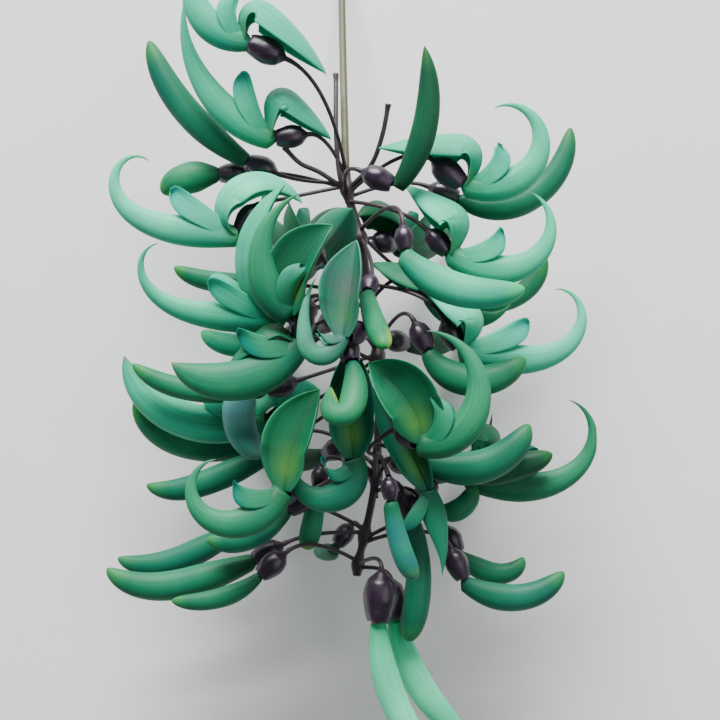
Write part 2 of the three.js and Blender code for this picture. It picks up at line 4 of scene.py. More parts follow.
import bpy
import numpy as np
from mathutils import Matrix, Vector


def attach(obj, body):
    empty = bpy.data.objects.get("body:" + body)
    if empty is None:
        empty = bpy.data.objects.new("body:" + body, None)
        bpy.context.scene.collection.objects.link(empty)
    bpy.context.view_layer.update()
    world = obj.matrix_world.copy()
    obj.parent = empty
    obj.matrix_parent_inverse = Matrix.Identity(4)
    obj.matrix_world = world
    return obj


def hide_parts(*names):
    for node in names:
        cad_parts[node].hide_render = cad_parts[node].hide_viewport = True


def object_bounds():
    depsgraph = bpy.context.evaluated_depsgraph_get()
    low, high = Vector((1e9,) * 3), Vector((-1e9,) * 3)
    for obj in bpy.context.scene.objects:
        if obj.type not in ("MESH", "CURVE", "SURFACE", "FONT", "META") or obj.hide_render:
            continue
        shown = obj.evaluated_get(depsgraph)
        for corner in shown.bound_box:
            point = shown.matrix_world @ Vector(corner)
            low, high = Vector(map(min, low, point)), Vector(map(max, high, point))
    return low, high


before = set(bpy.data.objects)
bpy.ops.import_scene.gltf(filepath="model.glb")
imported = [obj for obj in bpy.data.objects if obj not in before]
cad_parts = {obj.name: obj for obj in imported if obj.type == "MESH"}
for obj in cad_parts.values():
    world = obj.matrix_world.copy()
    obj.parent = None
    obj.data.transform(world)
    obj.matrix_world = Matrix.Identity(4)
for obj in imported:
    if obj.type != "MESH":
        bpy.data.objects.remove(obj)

cad_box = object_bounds()
MM = 0.001

# Vertices stay inside the solids' box by the inset. Sizes and places are in millimetres.
INSET = 0.02
BOX_LOW, BOX_HIGH = (np.array(corner) / MM for corner in cad_box)

# The point of the rachis from which all places are measured. The camera stands straight above it.
CENTRE = np.array([3.35, -13.1, 62.0])
CAMERA_RISE = 600.0
HALF_VIEW = 162.0
NEAREST_SEEN = 10.0

camera = bpy.data.objects.new("camera", bpy.data.cameras.new("camera"))
bpy.context.scene.collection.objects.link(camera)
camera.location = Vector(CENTRE + [0, 0, CAMERA_RISE]) * MM
camera.data.sensor_fit = "HORIZONTAL"
camera.data.angle = 2 * math.atan(HALF_VIEW / CAMERA_RISE)
camera.data.clip_start = NEAREST_SEEN * MM
bpy.context.scene.camera = camera

# Forms that the solids have too. ROOT is the share of a limb's full girth at its root, SWELL the share of
# its way at which the girth is full, and FALL the power and the bluntness of its narrowing at the tip.
CLAW_DEPTH = 15.0
CLAW_WIDTH = 9.6
CLAW_ROOT = 0.58
CLAW_SWELL = 0.35
CLAW_FALL = (2.2, 1.8)
CLAW_LEAN = 0.24  # how far its slender half keeps to the outer side of the curl, by its depth
BEAK_SHARE = 0.09  # of the girth, the share that the claw's point keeps
BEAK_FALL = (9, 0.6)
BUD_DEPTH = 10.8
BUD_WIDTH = 8.4
BUD_ROOT = 0.58
BUD_SWELL = 0.4
BUD_FALL = (5, 0.6)
HOOK_FALL = (4.5, 0.9)
KNOB_ROOT = 0.72
KNOB_SWELL = 0.8
KNOB_FALL = (9, 0.5)
WING_REACH = 0.42  # share of the claw's length that the wings follow
WING_RISE = 15.0  # how far their ends stand up from the claw's middle
WING_DEPTH = 15.0
WING_THICKNESS = 2.2
WING_ROOT = 0.4
WING_FALL = (6, 0.5)
WING_SEAT = 1.4  # how far a wing's root stands out from the flower's plane
WING_SPREAD = 4.6  # and its middle
WING_BELLY = 0.8  # share of a half turn of the sine that carries it from one to the other
HOOD_WIDTH = 30.0  # the standard, measured round its fold
HOOD_THICKNESS = 1.1
HOOD_ROOT = 0.22
HOOD_WIDEST = 0.45  # share of its length where it is widest
HOOD_FALL = 2.2
HOOD_CREASE = math.radians(15)  # lean of each half at the fold
HOOD_DRAPE = math.radians(85)  # and at the margin
HOOD_FLARE = 0.35  # share of its length over which its fold deepens
SEAT_RADIUS = 3.8  # how far a flower's fleshy base reaches back into its calyx
SEAT_GAP = 0.3
CALYX_RADIUS = 5.2
CALYX_LENGTH = 16.5
CALYX_ROOT = 0.2
CALYX_SWELL = (0.1, 0.7)  # its outline is a sine's, from here on and over so many half turns
KNEE_SHARE = 0.72  # of a kneed curve's turn, the share in its knee
KNEE_REACH = 0.2  # how far the knee reaches to both sides along the curve
STALK_RADIUS = 0.9
STALK_BOW = 0.35  # how far a stalk bows out, as a share of its span
RACHIS_RADIUS = 2.0
STEM_RADIUS = 1.7
BARE_RADIUS = 1.1
KNOT_SPREAD = 1.4  # step along the rachis between the stalks of one knot

# Fine forms that only this script has. SKIN keeps tips from closing, PACKING draws a limb's rings together
# towards its tip, and THINNESS is a blade's share of the solid's thickness. A SWELLING is (height, width).
SKIN = 0.02
HOOD_POINT = 0.012
CLAW_PACKING = 1.25
BUD_PACKING = 2
WING_PACKING = 1.4
HOOD_PACKING = 1.15
HEEL_ROOT = 0.75  # how full a flower's base is where it sits in its calyx
SEAM_WIDTH = 0.2  # in radians round the limb
CLAW_SEAM = 0.05  # depth of the seam, as a share of the girth
BUD_SEAM = 0.035
RIDGE_WIDTH = 0.3
RIDGE_HEIGHT = 0.045
SEAM_RUN = 1.05  # it ends a little before the tip
WING_THINNESS = 0.7
LIP_CURL = 2.6  # how far a wing's inner edge curls away from the keel
LIP_DROP = 1.3  # and how far it sinks
LIP_START = 0.35
WAVE_HEIGHT = 0.35
WAVES_ALONG = 9
WAVES_ACROSS = 2.2
WAVE_FADE = (0.05, 0.4)
CREASE_DEPTH = 0.5
CREASE_WIDTH = 0.07
CREASE_FADE = (0.9, 0.3)
MARGIN_START = 0.82
MARGIN_ROLL = 0.05
MARGIN_FADE = (0.02, 0.3)
MARGIN_POWER = 10
POINT_POWER = 16
LEAST_EDGE = 0.02
HOOD_THINNESS = 0.8
STALK_TOP = 0.35  # how much thicker a stalk is at its calyx
STALK_FOOT = 0.5  # and at the rachis
STALK_TOP_START = 0.8
STALK_FOOT_END = 0.08
CALYX_SPACING = 1.3
CALYX_NECK = 0.2
NECK_POWER = 0.6
CALYX_WALL = 0.7
LOBE_START = 0.72
BRIM_REACH = 0.9  # how far a calyx's brim is drawn out everywhere
LOBE_REACH = 0.7  # and how much farther at its lobes
LOBES = 5
LOBE_POWER = 1.5
BRIM_ROUNDING = 0.3
KNOT_SWELLING = (1.5, 3.6)
SCAR_SWELLING = (0.35, 2.0)
RACHIS_NARROWING = 0.8
ROD_RIBS = 5
ROD_RELIEF = 0.035
ROD_GUIDE = np.array([0.3, 0.1, 0.95])  # a way that no rod runs along

# Fineness of the meshes: rings along a limb, and points round each of them.
CLAW_RINGS = 44
CLAW_SIDES = 32
HEEL_RINGS = 8
WING_RINGS = 34
WING_SIDES = 26
HOOD_RINGS = 64
HOOD_COLUMNS = 41
STALK_RINGS = 30
STALK_SIDES = 12
CALYX_RINGS = 30
CALYX_SIDES = 24
CALYX_INNER = 8
RACHIS_RINGS = 240
STEM_RINGS = 90
STEM_SIDES = 20
BARE_RINGS = 60
BARE_SIDES = 14
BEND_STEPS = 240
SPLINE_STEPS = 24

KNOTS = {
    "A": (-6, 77, 0),
    "B": (0, 55, 0),
    "C": (4, 29, 0),
    "D": (8, 2, 0),
    "E": (7, -52, 0),
    "F": (2, -79, 0),
    "G": (-1, -92, 0),
}
RACHIS_TOP = (-6.3, 84.8, -0.5)
RACHIS_END = (-1.5, -97, 0)
BARE_STALKS = [
    [(-6, 76, 0), (-8.5, 80, 3), (-10.5, 96, 2), (-11, 130, -6)],
    [(-5, 77, 1), (5, 87, 6), (10, 100, 10), (12.5, 113, 12)],
    [(-7, 77, 0), (-18, 84, 3), (-27, 88, 5), (-34, 95, 6)],
]
STEM_LINE = [(-6.4, 86, -0.8), (-7, 105, -7), (-8.5, 160, -36), (-9.5, 208, -60.8)]

# Each flower, as the solids have it, with the look of its petals. Angles are in degrees. mouth is where it
# leaves its calyx. aim, rise and roll give the way its claw sets out and curls, and tuck and dip turn the
# calyx away from it. claw is the length, turn and lateness of the claw's curve. hood is the length, start,
# turn and lateness of the standard's curve, and the side to which it folds. spin turns the standard round
# its middle line, and via draws the stalk aside. The other numbers scale the sizes given above.
FLOWERS = [
    dict(id="01", knot="A", mouth=(-50, 138, 23), aim=176, rise=0, roll=180,
         tuck=-19, claw=(60, 138, 0.9), hood=(66, 68, 173, -0.26, 1), cup=1.15, look="mint"),
    dict(id="02", knot="A", mouth=(-40, 98, 8), aim=161, rise=4, roll=180,
         tuck=27, claw=(78, 73, 0.8), hood=(58, 58, 164, -0.4, 1), look="mint"),
    dict(id="03", knot="A", mouth=(-53, 91, -4), aim=145, rise=0, roll=180,
         tuck=12, claw=(70, 40, 1.4), girth=1.2, look="teal"),
    dict(id="04", knot="A", mouth=(-54, 54, 16), aim=173, rise=5, roll=180,
         tuck=65, claw=(81, 215, 3.4), hood=(68, -10, 250, 0.68, 1), via=(-36, 72, 2), look="mist"),
    dict(id="05", knot="A", mouth=(-67, 85, -12), aim=182, rise=0, roll=180,
         tuck=2, claw=(26, -55, 1.81), girth=1.35, look="jade"),
    dict(id="06", knot="A", mouth=(16, 74, 30), aim=50, rise=10, roll=0,
         tuck=74, claw=(62, 52, 0.8), girth=1.02, tip="hook", look="shaded"),
    dict(id="07", knot="A", mouth=(47, 76, 12), aim=356, rise=0, roll=0,
         tuck=35, claw=(70, 203, 1.5), hood=(66, 60, 144, -0.3, 1), cup=1.15, look="mint"),
    dict(id="08", knot="A", mouth=(47, 73, -10), aim=326, rise=0, roll=0,
         tuck=-12, claw=(71, 122, 0.8), girth=1.1, look="teal"),
    dict(id="09", knot="A", mouth=(40, 45, 22), aim=332, rise=5, roll=0,
         tuck=18, claw=(68.5, 175, 1.47), hood=(50, 84, 110, -0.37, 1), wide=1.2, cup=0.95, look="mint"),
    dict(id="11", knot="B", mouth=(19, 43, 44), aim=310, rise=5, roll=0,
         tuck=36, claw=(54, 66, 0.9), girth=1.3, cup=0.8, look="mint"),
    dict(id="12", knot="B", mouth=(32, 32, -19), aim=343, rise=0, roll=0,
         tuck=19, claw=(66, 108, 2), look="jade"),
    dict(id="14", knot="C", mouth=(44, 3, 20), aim=353, rise=0, roll=0,
         tuck=56, claw=(77, 188, 2.7), hood=(50, 53, 120, -0.37, 1), wide=1.15, look="mist"),
    dict(id="15", knot="D", mouth=(30, 2, 30), aim=295, rise=5, roll=0,
         tuck=0, claw=(47, 114, 0.8), girth=1.25, cup=0.95, look="jade"),
    dict(id="17", knot="E", mouth=(25, -35, 52), aim=347, rise=10, roll=0,
         tuck=24, dip=40, claw=(70, 178, 0.8), hood=(42, 85, 74, 0.45, -1), wide=1.15, spin=75,
         via=(-3, -40, 38), look="jade"),
    dict(id="18", knot="E", mouth=(28, -44, 24), aim=342, rise=5, roll=0,
         tuck=4, claw=(53, 89, 1.3), girth=1.35, look="teal"),
    dict(id="19", knot="E", mouth=(48, -51, 14), aim=9, rise=0, roll=0,
         tuck=26, claw=(38, 16, 1.7), girth=1.1, cup=0.9, look="shaded"),
    dict(id="20", knot="E", mouth=(49, -54, 4), aim=351, rise=0, roll=0,
         tuck=17, claw=(84, 166, 2.1), hood=(47, 51, 142, -0.55, 1), wide=1.1, look="jade"),
    dict(id="21", knot="C", mouth=(-30, 19, 38), aim=147, rise=10, roll=180,
         tuck=50, dip=45, claw=(59, 111, 0.8), hood=(43, 70, 32, 1.42, -1), wide=1.1, spin=-50,
         look="jade"),
    dict(id="22", knot="C", mouth=(-7, 9, 51), aim=236, rise=15, roll=180,
         tuck=-30, dip=48, claw=(49, 168, -0.28), girth=0.62, reach=0.2, hood=(43, 158, -5, 0.4, -1),
         wide=1.55, spin=-55, look="violet"),
    dict(id="23", knot="B", mouth=(3, 27, 34), aim=283, rise=50, roll=0,
         tuck=17, claw=(36, 10, 1.5), girth=0.88, tip="knob", cup=0.8, look="lime"),
    dict(id="24", knot="D", mouth=(-3, -3, 48), aim=284, rise=35, roll=180,
         tuck=0, claw=(41, 200, -0.62), girth=1.05, tip="hook", cup=0.95, look="lime"),
    dict(id="25", knot="C", mouth=(-35, 17, 14), aim=174, rise=0, roll=166,
         tuck=38, claw=(82, 159, 3.8), hood=(77, 0, 148, 0.72, 1), wide=0.9, look="mint"),
    dict(id="26", knot="C", mouth=(-46, 35, -14), aim=178, rise=0, roll=180,
         tuck=0, claw=(41, 35, 2.7), girth=0.9, look="jade"),
    dict(id="27", knot="C", mouth=(-39, 7, -8), aim=183, rise=0, roll=180,
         tuck=23, claw=(35, 51, 2.6), look="mint"),
    dict(id="28", knot="D", mouth=(-26, 6, 32), aim=224, rise=5, roll=180,
         tuck=36, claw=(60, 84, 1.29), girth=1.2, tip="hook", hood=(41, 96, -107, -0.34, -1), wide=0.45,
         look="jade"),
    dict(id="29", knot="D", mouth=(-44, -14, 7), aim=181, rise=0, roll=180,
         tuck=16, claw=(60, 45, 2.4), girth=0.95, look="jade"),
    dict(id="30", knot="D", mouth=(-44, -29, -8), aim=186, rise=0, roll=180,
         tuck=17, claw=(78, 84, 1.6), girth=1.15, tip="hook", hood=(45, 40, 190, 0.7, 1), look="mint"),
    dict(id="31", knot="D", mouth=(-44, -39, -18), aim=186, rise=0, roll=180,
         tuck=16, claw=(70, 85, 2.3), girth=1.2, look="jade"),
    dict(id="32", knot="D", mouth=(-48, -8, 14), aim=234, rise=5, roll=0,
         tuck=2, claw=(39, 89, 1.02), girth=1.35, look="lilac"),
    dict(id="33", knot="E", mouth=(-41, -43, -4), aim=204, rise=0, roll=180,
         tuck=9, claw=(59, 53, 4), girth=1.1, look="teal"),
    dict(id="35", knot="E", mouth=(-32, -55, 42), aim=230, rise=10, roll=180,
         tuck=-118, dip=79, claw=(64, 215, 1.56), hood=(46, 153, 14, 1.1, -1), wide=1.1, spin=-60,
         look="jade"),
    dict(id="36", knot="E", mouth=(-33, -67, 20), aim=219, rise=0, roll=180,
         tuck=0, claw=(37, 62, 1.9), look="teal"),
    dict(id="37", knot="F", mouth=(-55, -77, -6), aim=208, rise=0, roll=180,
         tuck=6, claw=(59, 59, 2.9), girth=1.1, look="teal"),
    dict(id="38", knot="F", mouth=(-49, -90, 8), aim=199, rise=0, roll=180,
         tuck=10, claw=(67, 65, 2.8), girth=1.25, look="jade"),
    dict(id="39", knot="G", mouth=(-45, -95, 22), aim=222, rise=0, roll=180,
         tuck=0, claw=(39, 50, 0.8), girth=0.8, look="jade"),
    dict(id="40", knot="E", mouth=(-3, -42, 37), aim=290, rise=5, roll=180,
         tuck=4, dip=88, claw=(51, 238, 0.94), hood=(48, 199, 0, 1, -1), spin=-90, look="teal"),
    dict(id="41", knot="F", mouth=(-12, -86, -4), aim=234, rise=-70, roll=180,
         tuck=0, dip=45, claw=(26, 20, 1), girth=0.85, cup=0.85, look="jade"),
    dict(id="42", knot="E", mouth=(-19, -59, 14), aim=261, rise=-3, roll=180,
         tuck=0, claw=(25, 5, 1.5), girth=0.9, tip="knob", cup=0.75, look="blue"),
    dict(id="43", knot="E", mouth=(13, -61, 46), aim=281, rise=0, roll=0,
         tuck=6, claw=(32, 21, 1.8), girth=0.85, tip="knob", cup=0.75, via=(6, -30, 23), look="blue"),
    dict(id="44", knot="E", mouth=(23, -73, 15), aim=286, rise=0, roll=180,
         tuck=0, claw=(51, 33, 0.8), girth=1.1, tip="knob", look="teal"),
    dict(id="45", knot="E", mouth=(29, -56, 31), aim=282, rise=8, roll=180,
         tuck=-11, dip=88, claw=(36, 5, 0.8), girth=0.8, hood=(51, 174, -13, 0.4, -1), wide=0.9, spin=-77,
         via=(14, -29, 11), look="teal"),
    dict(id="46", knot="F", mouth=(45, -88, 4), aim=327, rise=0, roll=0,
         tuck=31, claw=(33, 114, 2.3), girth=0.9, cup=0.9, look="jade"),
    dict(id="47", knot="E", mouth=(35, -66, 12), aim=329, rise=0, roll=0,
         tuck=5, claw=(22, 121, 0.8), girth=0.9, cup=0.75, look="jade"),
    dict(id="48", knot="F", mouth=(46, -98, 16), aim=332, rise=0, roll=0,
         tuck=40, claw=(48, 85, 1.4), girth=1.1, look="teal"),
    dict(id="50", knot="G", mouth=(8, -115, 22), aim=272, rise=-5, roll=0,
         tuck=5, claw=(76, 44, 1), girth=1.15, cup=1.45, look="pale"),
    dict(id="51", knot="G", mouth=(16, -117, 6), aim=281, rise=-5, roll=0,
         tuck=4, claw=(64, 42, 1), girth=1.2, cup=1.2, look="pale"),
    dict(id="52", knot="B", mouth=(-23, 42, 11), aim=231, rise=-82, roll=270,
         tuck=20, claw=(50, 80, 1.5), hood=(32, 100, 20, 1, -1), via=(2, 7, -1), look="violet"),
    dict(id="53", knot="C", mouth=(32, 28, 5), aim=323, rise=0, roll=0,
         tuck=-3, claw=(38, 74, 1.3), hood=(40, 93, 128, -0.21, 1), cup=0.8, look="jade"),
    dict(id="60", knot="B", mouth=(-23, 53, -25), aim=163, rise=-49, roll=180,
         tuck=28, claw=(66, 95, 1.8), hood=(48, 40, 195, 0.7, 1), look="shaded"),
    dict(id="61", knot="B", mouth=(17, 53, -24), aim=1, rise=-51, roll=0,
         tuck=10, claw=(66, 95, 1.8), hood=(48, 40, 195, 0.7, 1), look="shaded"),
    dict(id="62", knot="C", mouth=(-19, 14, -29), aim=208, rise=-43, roll=180,
         tuck=10, claw=(64, 90, 1.8), girth=1.1, look="shaded"),
    dict(id="63", knot="D", mouth=(23, 7, -26), aim=358, rise=-48, roll=0,
         tuck=10, claw=(64, 90, 1.8), girth=1.1, look="shaded"),
    dict(id="64", knot="E", mouth=(-17, -45, -26), aim=198, rise=-48, roll=180,
         tuck=10, claw=(64, 90, 1.8), girth=1.1, look="shaded"),
    dict(id="65", knot="E", mouth=(25, -51, -28), aim=349, rise=-44, roll=0,
         tuck=10, claw=(66, 95, 1.8), hood=(48, 40, 195, 0.7, 1), look="shaded"),
]


def placed(place):
    """A place given from CENTRE, or a list of them, in the scene's millimetres."""
    return np.array(place, float) + CENTRE


def unit(vector):
    return vector / np.linalg.norm(vector, axis=-1, keepdims=True)


def smooth(low, high, x):
    t = np.clip((x - low) / (high - low), 0, 1)
    return t * t * (3 - 2 * t)


def bell(x, width):
    return np.exp(-(x / width) ** 2)


def packed(count, power):
    """Shares of a limb's way, from 0 at its root to 1 at its tip, closer together towards the tip."""
    return 1 - (1 - np.linspace(0, 1, count)) ** power


def round_turn(sides):
    """The angles at which the points of a ring stand."""
    return 2 * np.pi * np.arange(sides) / sides


def frame_of(row):
    """The way the claw sets out, the way it curls, and the way across both."""
    aim, rise, roll = np.radians([row["aim"], row["rise"], row["roll"]])
    along = np.array([math.cos(aim) * math.cos(rise), math.sin(aim) * math.cos(rise), math.sin(rise)])
    level = np.array([-math.sin(aim), math.cos(aim), 0])
    inward = level * math.cos(roll) + np.cross(along, level) * math.sin(roll)
    return along, inward, np.cross(along, inward)


def turned(s, late):
    """The share of a curve's turn made at s, with a knee where late is negative."""
    if late > 0:
        return s ** late
    return KNEE_SHARE * smooth(-late - KNEE_REACH, -late + KNEE_REACH, s) + (1 - KNEE_SHARE) * s


def bend(row_frame, origin, shape, s):
    """Points and normals, at the shares s of its way, of a curve that turns in the flower's plane."""
    along, inward, _ = row_frame
    length, start, turn, late = shape
    angle = np.radians(start + turn * turned((np.arange(BEND_STEPS) + 0.5) / BEND_STEPS, late))
    steps = np.stack([np.cos(angle), np.sin(angle)], 1) * length / BEND_STEPS
    stations = np.vstack([[0, 0], np.cumsum(steps, 0)])
    x, y = (np.interp(s * BEND_STEPS, np.arange(BEND_STEPS + 1), stations[:, k])[:, None] for k in (0, 1))
    angle = np.radians(start + turn * turned(s, late))[:, None]
    return origin + x * along + y * inward, np.cos(angle) * inward - np.sin(angle) * along


def between(first, second, low, high, t):
    """The point at t of a line that is at first at low, and at second at high."""
    return (first * (high - t) + second * (t - low)) / (high - low)


def spline(places, count):
    """Evenly spread points of a centripetal Catmull-Rom curve through places."""
    points = placed(places)
    points = np.vstack([2 * points[0] - points[1], points, 2 * points[-1] - points[-2]])
    last = len(points) - 3
    stretches = []
    for first in range(1, last + 1):
        four = points[first - 1:first + 3]
        gaps = np.sqrt(np.linalg.norm(np.diff(four, axis=0), axis=1))
        knots = np.concatenate([[0], np.cumsum(gaps)])
        t = np.linspace(knots[1], knots[2], SPLINE_STEPS, endpoint=first == last)[:, None]
        lines = [between(four[k], four[k + 1], knots[k], knots[k + 1], t) for k in range(3)]
        arcs = [between(lines[k], lines[k + 1], knots[k], knots[k + 2], t) for k in range(2)]
        stretches.append(between(arcs[0], arcs[1], knots[1], knots[2], t))
    curve = np.vstack(stretches)
    run = np.concatenate([[0], np.cumsum(np.linalg.norm(np.diff(curve, axis=0), axis=1))])
    at = np.linspace(0, run[-1], count)
    return np.stack([np.interp(at, run, curve[:, k]) for k in range(3)], 1)


def sheet(points, along, look, capped=True, cut=None):
    """A closed skin: its rings of points, how far along each is, its look, and the look of a cut end."""
    return {"points": points, "along": along, "look": look, "capped": capped, "cut": cut}


def walls(one, base):
    """The faces between a sheet's rings, and their corners on the map Form: across and along."""
    along = one["along"]
    rows, columns = one["points"].shape[:2]
    row = np.repeat(np.arange(rows - 1), columns)
    column = np.tile(np.arange(columns), rows - 1)
    here = row * columns + base
    beyond = here + columns
    right = (column + 1) % columns
    quads = np.stack([here + column, here + right, beyond + right, beyond + column], 1)
    u0, u1 = column / columns, (column + 1) / columns
    v0, v1 = along[row], along[row + 1]
    return quads.tolist(), np.stack([u0, v0, u1, v0, u1, v1, u0, v1], 1).reshape(-1, 2)


def cap(one, row, base):
    """The face that closes a sheet at one of its end rings, and its corners on the map Form."""
    columns = one["points"].shape[1]
    ring = np.arange(columns) + row * columns + base
    turn = round_turn(columns)
    disc = np.stack([0.5 + 0.5 * np.cos(turn), np.full(columns, one["along"][row])], 1)
    if row == 0:
        return ring[::-1].tolist(), disc[::-1]
    return ring.tolist(), disc


def piece(name, sheets, looks, nodes):
    """One object made of sheets, in place of nodes of the solids."""
    vertices, faces, uvs, slots = [], [], [], []
    base = 0
    for one in sheets:
        rows, columns = one["points"].shape[:2]
        vertices.append(one["points"].reshape(-1, 3))
        quads, corners = walls(one, base)
        faces.extend(quads)
        uvs.append(corners)
        slots.extend([one["look"]] * len(quads))
        far_look = one["look"] if one["cut"] is None else one["cut"]
        for row, look in ((0, one["look"]), (rows - 1, far_look)):
            if one["capped"]:
                ring, corners = cap(one, row, base)
                faces.append(ring)
                uvs.append(corners)
                slots.append(look)
        base += rows * columns
    vertices = np.clip(np.vstack(vertices), BOX_LOW + INSET, BOX_HIGH - INSET)
    mesh = bpy.data.meshes.new(name)
    mesh.from_pydata((vertices * MM).tolist(), [], faces)
    layer = mesh.uv_layers.new(name="Form")
    layer.data.foreach_set("uv", np.vstack(uvs).astype(np.float32).ravel())
    for look in looks:
        mesh.materials.append(look)
    mesh.polygons.foreach_set("material_index", np.array(slots, np.int32))
    mesh.polygons.foreach_set("use_smooth", np.ones(len(mesh.polygons), bool))
    mesh.validate()
    mesh.update()
    made = bpy.data.objects.new(name, mesh)
    bpy.context.scene.collection.objects.link(made)
    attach(made, "root")
    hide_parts(*nodes)


def loft(centres, normal, across, depth, width, turn, shift=0.0):
    """Rings round a line of centres: depth along -normal at turn 0, width along across."""
    d, w, t = depth[:, None, None], width[:, None, None], turn[None, :, None]
    ring = -d * np.cos(t) * normal[:, None] + w * np.sin(t) * across[:, None]
    return centres[:, None] + ring + np.reshape(shift, (-1, 1, 1)) * across[:, None]


def rise_to(s, root, full):
    """Grows from root at a limb's root to 1 at the place full, and stays there."""
    return root + (1 - root) * np.sin(np.pi / 2 * np.minimum(1, s / full))


def fall(s, power, blunt):
    """Narrows from 1 to 0 at the tip: late where power is high, and bluntly where blunt is low."""
    return np.maximum(0, 1 - s ** power) ** blunt


def limb_taper(tip, s):
    """The share of its girth that a claw or bud has at s."""
    if tip == "beak":
        body = (1 - BEAK_SHARE) * rise_to(s, CLAW_ROOT, CLAW_SWELL) * fall(s, *CLAW_FALL)
        return body + BEAK_SHARE * fall(s, *BEAK_FALL)
    if tip == "knob":
        return rise_to(s, KNOB_ROOT, KNOB_SWELL) * fall(s, *KNOB_FALL)
    return rise_to(s, BUD_ROOT, BUD_SWELL) * fall(s, *(HOOK_FALL if tip == "hook" else BUD_FALL))


def wing_taper(s):
    return (WING_ROOT + (1 - WING_ROOT) * s) * fall(s, *WING_FALL)


def hood_taper(s):
    late = 1 - (np.maximum(0, s - HOOD_WIDEST) / (1 - HOOD_WIDEST)) ** HOOD_FALL
    return np.where(s < HOOD_WIDEST, rise_to(s, HOOD_ROOT, HOOD_WIDEST), np.maximum(HOOD_POINT, late))


def calyx_way(row, row_frame):
    """The way a flower's calyx points, turned from the claw's way by tuck and dip."""
    tuck, dip = math.radians(-row["tuck"]), math.radians(row.get("dip", 0))
    way = (row_frame[0] * math.cos(tuck) + row_frame[1] * math.sin(tuck)) * math.cos(dip)
    return unit(way + np.array([0, 0, math.sin(dip)]))


def seam_relief(turn, along, seam_depth):
    """How a limb's skin sinks along its seam and rises along its back, as a share of its girth."""
    seam = bell(turn - np.pi, SEAM_WIDTH) * seam_depth
    ridge = bell(np.minimum(turn, 2 * np.pi - turn), RIDGE_WIDTH) * RIDGE_HEIGHT
    fade = np.sin(np.pi * np.clip(along * SEAM_RUN, 0, 1)) ** 0.5
    return (ridge - seam)[None, :, None] * fade[:, None, None]


def claw(row, row_frame, origin):
    """The keel of an open flower or a closed bud, with its seam down the inner side."""
    length, turn, late = row["claw"]
    is_open = "hood" in row
    girth = row.get("girth", 1)
    s = packed(CLAW_RINGS, CLAW_PACKING if is_open else BUD_PACKING)
    centre, normal = bend(row_frame, origin, (length, 0, turn, late), s)
    depth = girth * (CLAW_DEPTH if is_open else BUD_DEPTH) / 2
    width = girth * (CLAW_WIDTH if is_open else BUD_WIDTH) / 2
    tip = row.get("tip", "beak" if is_open else "blunt")
    if tip == "beak":
        centre = centre - normal * (CLAW_LEAN * depth * np.sin(np.pi * s ** 2))[:, None]
    taper = limb_taper(tip, s)
    heel = np.arange(HEEL_RINGS) / HEEL_RINGS
    heel_taper = taper[0] * np.sqrt(1 - (1 - heel) ** 2) * (HEEL_ROOT + (1 - HEEL_ROOT) * heel)
    back = origin - calyx_way(row, row_frame) * SEAT_RADIUS * (1 - heel[:, None])
    centre = np.vstack([back, centre])
    normal = np.vstack([np.repeat(normal[:1], HEEL_RINGS, 0), normal])
    taper = np.concatenate([heel_taper, taper])
    along = np.concatenate([np.zeros(HEEL_RINGS), s])
    across = np.repeat(row_frame[2][None], len(centre), 0)
    around = round_turn(CLAW_SIDES)
    points = loft(centre, normal, across, depth * taper + SKIN, width * taper + SKIN, around)
    points += seam_relief(around, along, CLAW_SEAM if is_open else BUD_SEAM) * (points - centre[:, None])
    return sheet(points, along, 0)


def wings(row, row_frame, origin):
    """The two wings beside the keel, with lips that curl away from it."""
    girth = row.get("girth", 1)
    length, turn, late = row["claw"]
    s = packed(WING_RINGS, WING_PACKING)
    centre, normal = bend(row_frame, origin, (length, 0, turn, late), row.get("reach", WING_REACH) * s)
    centre = centre + normal * (girth * WING_RISE * s)[:, None]
    across = np.repeat(row_frame[2][None], WING_RINGS, 0)
    around = round_turn(WING_SIDES)
    depth = girth * WING_DEPTH * wing_taper(s) / 2 + SKIN
    width = WING_THICKNESS * wing_taper(s) / 2 * WING_THINNESS + SKIN
    spread = girth * (WING_SEAT + (WING_SPREAD - WING_SEAT) * np.sin(np.pi * WING_BELLY * s))
    lip = np.clip(-np.cos(around), 0, 1)[None, :] ** 2 * smooth(LIP_START, 1, s)[:, None]
    pair = []
    for side in (1, -1):
        points = loft(centre, normal, across, depth, width, around, side * spread)
        points += side * (LIP_CURL * girth * lip)[:, :, None] * across[:, None]
        points -= (LIP_DROP * girth * lip)[:, :, None] * normal[:, None]
        pair.append(sheet(points, s, 1))
    return pair


def blade_lift(s, v, half, lean, fold, phase):
    """How far a standard's points stand off its middle line: its folded sides, waves, crease and margin."""
    off = np.abs(v)[None, :]
    folded = fold * (half[:, None] * off) * np.sin(lean)
    wave = np.sin(WAVES_ALONG * s + phase)[:, None] * np.sin(WAVES_ACROSS * v + phase)[None, :] * off ** 2
    lift = folded + WAVE_HEIGHT * wave * smooth(*WAVE_FADE, s)[:, None]
    crease = CREASE_DEPTH * bell(v, CREASE_WIDTH)[None, :] * smooth(*CREASE_FADE, s)[:, None]
    roll = smooth(MARGIN_START, 1, off) * smooth(*MARGIN_FADE, s)[:, None]
    return lift - fold * (crease + MARGIN_ROLL * half[:, None] * roll)


